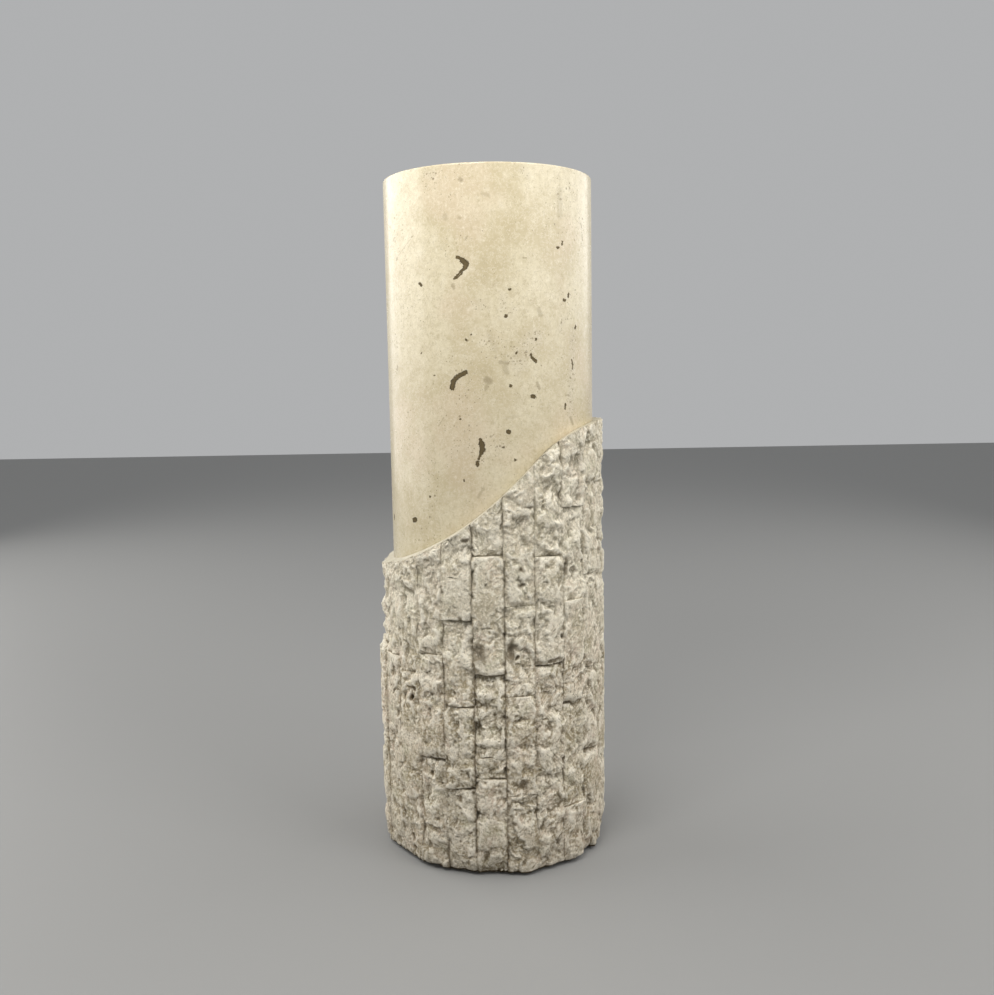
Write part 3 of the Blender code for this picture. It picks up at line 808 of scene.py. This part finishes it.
def split_strip(strip, number):
    """One upright strip: its stones' faces, its sides, its plain back and its sawn top."""
    surfaces = [stone_surface(strip, number, level) for level in range(len(strip["stones"]))]
    angle, radius, height, tone, stain_and_shadow = (np.concatenate(part) for part in zip(*surfaces))
    x, y = radius * np.sin(angle), -radius * np.cos(angle)
    height = height.copy()
    height[-1] = sawn_height(x[-1])
    rows, columns = radius.shape
    step = COLUMNS // BACK_COLUMNS
    back_angle = np.linspace(strip["start"], strip["end"], BACK_COLUMNS + 1)
    back_x = np.broadcast_to(BACK_RADIUS * np.sin(back_angle), (rows, BACK_COLUMNS + 1))
    back_y = np.broadcast_to(-BACK_RADIUS * np.cos(back_angle), (rows, BACK_COLUMNS + 1))
    back_z = height[:, ::step] * (sawn_height(back_x[-1]) / height[-1, ::step])
    front_points = np.stack([x, y, height], -1).reshape(-1, 3)
    back_points = np.stack([back_x, back_y, back_z], -1).reshape(-1, 3)
    front = np.arange(rows * columns).reshape(rows, columns)
    back = rows * columns + np.arange(rows * (BACK_COLUMNS + 1)).reshape(rows, BACK_COLUMNS + 1)

    def quads(*corners):
        return np.stack([corner.ravel() for corner in corners], -1).tolist()

    faces = quads(front[:-1, :-1], front[:-1, 1:], front[1:, 1:], front[1:, :-1])
    faces += quads(back[:-1, 1:], back[:-1, :-1], back[1:, :-1], back[1:, 1:])
    faces += quads(back[:-1, 0], front[:-1, 0], front[1:, 0], back[1:, 0])
    faces += quads(front[:-1, -1], back[:-1, -1], back[1:, -1], front[1:, -1])
    sawn_from = len(faces)
    runs = [slice(k * step, (k + 1) * step + 1) for k in range(BACK_COLUMNS)]
    for k, run in enumerate(runs):
        faces.append(front[-1, run].tolist() + back[-1, [k + 1, k]].tolist())
    for k, run in enumerate(runs):
        faces.append(front[0, run].tolist()[::-1] + back[0, [k, k + 1]].tolist())
    name = strip["node"].replace("split_stone_strip", "split_face_strip")
    points = np.concatenate([front_points, back_points]).tolist()
    piece = add_piece(name, points, faces, [split_stone, sawn_stone])
    mesh = piece.data
    for k in range(sawn_from, sawn_from + BACK_COLUMNS):
        mesh.polygons[k].material_index = 1
    spare = len(back_points)
    keep_at_points(mesh, "hollow", (radius - blurred(radius, 3, 3)) * 1000, spare)
    keep_at_points(mesh, "relief", (radius - blurred(radius, 11, 9)) * 1000, spare)
    keep_at_points(mesh, "stain_and_shadow", stain_and_shadow, spare)
    for k, name in enumerate(("tone_warm", "tone_light", "tone_pink")):
        keep_at_points(mesh, name, tone[..., k], spare)
    mesh.shade_smooth()
    mesh.set_sharp_from_angle(angle=math.radians(60))
    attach(piece, "root")
    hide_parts(strip["node"])


split_stone = bpy.data.materials.new("split_limestone")
rough = Nodes(split_stone)
here = rough.add("ShaderNodeTexCoord", {}, "Object")


def at_points(name):
    return rough.add("ShaderNodeAttribute", {}, "Fac", attribute_name=name)


# Each stone's own tone, then greenish, rosy, brown and pale patches over all of them.
GREY_STONE, WARM_STONE = (0.60, 0.55, 0.44), (0.63, 0.555, 0.405)
PINK_STONE, LIGHT_STONE = (0.62, 0.51, 0.43), (0.76, 0.71, 0.59)
GREENISH, ROSY_PATCH = (0.54, 0.54, 0.40), (0.66, 0.53, 0.445)
BROWN_PATCH, PALE_PATCH = (0.40, 0.335, 0.21), (0.85, 0.80, 0.69)
BROWN_BLOT, PALE_BLOT = (0.34, 0.285, 0.18), (0.89, 0.84, 0.72)
patches = rough.noise(here, 24.0, 4.0, 0.6)
blots = rough.noise(rough.vector("ADD", here, (1.3, 4.1, 2.2)), 55.0, 4.0, 0.65)
crumbs = rough.noise(here, 250.0, 4.0, 0.72)
speckle = rough.noise(here, 640.0, 3.0, 0.65)
hue = rough.noise(rough.vector("ADD", here, (5.2, 0.7, 1.9)), 34.0, 3.0, 0.55)
colour = rough.mix(at_points("tone_warm"), GREY_STONE, WARM_STONE)
colour = rough.mix(rough.math("MULTIPLY", at_points("tone_pink"), 0.50), colour, PINK_STONE)
colour = rough.mix(rough.math("MULTIPLY", at_points("tone_light"), 0.30), colour, LIGHT_STONE)
colour = rough.mix(rough.ramp(hue, 0.52, 0.66, 0.0, 0.60), colour, GREENISH)
colour = rough.mix(rough.ramp(hue, 0.46, 0.32, 0.0, 0.60), colour, ROSY_PATCH)
colour = rough.mix(rough.ramp(patches, 0.50, 0.64, 0.0, 0.80), colour, BROWN_PATCH)
colour = rough.mix(rough.ramp(patches, 0.47, 0.34, 0.0, 0.85), colour, PALE_PATCH)
colour = rough.mix(rough.ramp(blots, 0.51, 0.64, 0.0, 0.75), colour, BROWN_BLOT)
colour = rough.mix(rough.ramp(blots, 0.47, 0.33, 0.0, 0.70), colour, PALE_BLOT)

# Dirt and painted shade in the hollows, bruised paler stone and painted highlight on what stands out,
# then the stains with painted shadow, and the crystals.
DEEP_DIRT_AND_SHADE, HIGH_PALE_AND_HIGHLIGHT = (0.20, 0.165, 0.10), (0.90, 0.86, 0.74)
CRUMB_DARK, CRUMB_PALE = (0.20, 0.17, 0.11), (0.94, 0.91, 0.81)
CREVICE_DIRT_AND_SHADE, EDGE_PALE_AND_HIGHLIGHT = (0.175, 0.14, 0.082), (0.96, 0.93, 0.84)
STAIN_AND_SHADOW_BROWN, BLACK_DIRT_AND_SHADOW = (0.21, 0.165, 0.105), (0.050, 0.036, 0.016)
SPECKLE_DARK, SPECKLE_PALE = (0.14, 0.12, 0.08), (0.92, 0.90, 0.82)
# Dirt and painted shade darken the broad hollows; bruised stone and painted highlight pale the broad rises.
colour = rough.mix(rough.ramp(at_points("relief"), -0.4, -3.0, 0.0, 0.80), colour, DEEP_DIRT_AND_SHADE)
colour = rough.mix(rough.ramp(at_points("relief"), 0.3, 2.4, 0.0, 0.75), colour, HIGH_PALE_AND_HIGHLIGHT)
colour = rough.mix(rough.ramp(crumbs, 0.50, 0.64, 0.0, 0.90), colour, CRUMB_PALE)
colour = rough.mix(rough.ramp(crumbs, 0.46, 0.32, 0.0, 0.90), colour, CRUMB_DARK)
# Painted highlight and bruising pale the small ridges; dirt and painted shade darken the small crevices.
colour = rough.mix(rough.ramp(at_points("hollow"), 0.05, 0.7, 0.0, 0.70), colour, EDGE_PALE_AND_HIGHLIGHT)
colour = rough.mix(rough.ramp(at_points("hollow"), -0.1, -1.2, 0.0, 0.60), colour, CREVICE_DIRT_AND_SHADE)
# The stains carry painted shadow too: under the lip at 27 degrees and along the foot.
colour = rough.mix(rough.ramp(at_points("stain_and_shadow"), 0.0, 0.5), colour, STAIN_AND_SHADOW_BROWN)
colour = rough.mix(rough.ramp(speckle, 0.56, 0.70, 0.0, 0.60), colour, SPECKLE_DARK)
colour = rough.mix(rough.ramp(speckle, 0.44, 0.30, 0.0, 0.60), colour, SPECKLE_PALE)

# Drawn-out splinters that lean either way, painted light that pales the upper part, and a darker
# tone towards the floor.
FEATHER_DARK, FEATHER_PALE = (0.17, 0.145, 0.09), (0.95, 0.93, 0.85)
PAINTED_LIGHT_TOP, DARKER_LOW_TONE = (0.80, 0.80, 0.70), (0.17, 0.14, 0.10)
WHOLE_TINT = (1.07, 1.03, 0.965)
up_the_column = rough.add("ShaderNodeSeparateXYZ", {0: here}, "Z")
drawn_out = rough.vector("MULTIPLY", here, (1.0, 1.0, 0.24))
to_side = rough.math("MULTIPLY", up_the_column, rough.ramp(hue, 0.49, 0.51, -0.7, 0.6))
to_side = rough.add("ShaderNodeCombineXYZ", {0: to_side, 1: to_side, 2: 0.0})
feathers = rough.noise(rough.vector("ADD", drawn_out, to_side), 360.0, 3.0, 0.6)
colour = rough.mix(rough.ramp(feathers, 0.47, 0.30, 0.0, 0.60), colour, FEATHER_DARK)
colour = rough.mix(rough.ramp(feathers, 0.54, 0.70, 0.0, 0.55), colour, FEATHER_PALE)
# Painted light: the upper part of the column is made paler, as if more light falls there.
colour = rough.mix(rough.ramp(up_the_column, 0.23, 0.36, 0.0, 0.24), colour, PAINTED_LIGHT_TOP)
# Darker towards the floor.
colour = rough.mix(rough.ramp(up_the_column, 0.30, 0.0, 0.0, 0.16), colour, DARKER_LOW_TONE)
colour = rough.mix(rough.ramp(up_the_column, 0.07, -0.01, 0.0, 0.34), colour, DARKER_LOW_TONE)
# Black where the stain is strongest: painted shadow along the foot, and the darkest marks.
colour = rough.mix(rough.ramp(at_points("stain_and_shadow"), 0.40, 0.95, 0.0, 0.92), colour, BLACK_DIRT_AND_SHADOW)
rough.put(rough.shader.inputs["Base Color"], rough.vector("MULTIPLY", colour, WHOLE_TINT))
rough.shader.inputs["Roughness"].default_value = 0.92
rough.shader.inputs["Specular IOR Level"].default_value = 0.25
bumps = rough.math("ADD", rough.noise(here, 620.0, 4.0, 0.75), rough.math("MULTIPLY", crumbs, 0.9))
bumps = rough.math("ADD", bumps, rough.math("MULTIPLY", feathers, 0.7))
gritty = {"Height": bumps, "Strength": 1.0, "Distance": 0.0018}
rough.put(rough.shader.inputs["Normal"], rough.add("ShaderNodeBump", gritty))

# The sawn top is flat and a little darker, with the fine even grain that a saw leaves.
SAWN_DARK, SAWN_PALE = (0.46, 0.42, 0.32), (0.56, 0.52, 0.41)
sawn_stone = bpy.data.materials.new("sawn_limestone")
sawn = Nodes(sawn_stone)
here = sawn.add("ShaderNodeTexCoord", {}, "Object")
saw_grain = sawn.ramp(sawn.noise(here, 120.0, 4.0, 0.6), 0.3, 0.7)
sawn.put(sawn.shader.inputs["Base Color"], sawn.mix(saw_grain, SAWN_DARK, SAWN_PALE))
sawn.shader.inputs["Roughness"].default_value = 0.6

around = sorted((read_strip(node) for node in strips), key=lambda strip: strip["start"])
for place, strip in enumerate(around):
    strip["left"], strip["right"] = around[place - 1], around[(place + 1) % len(around)]
for place, strip in enumerate(around):
    split_strip(strip, place - len(around) // 2)
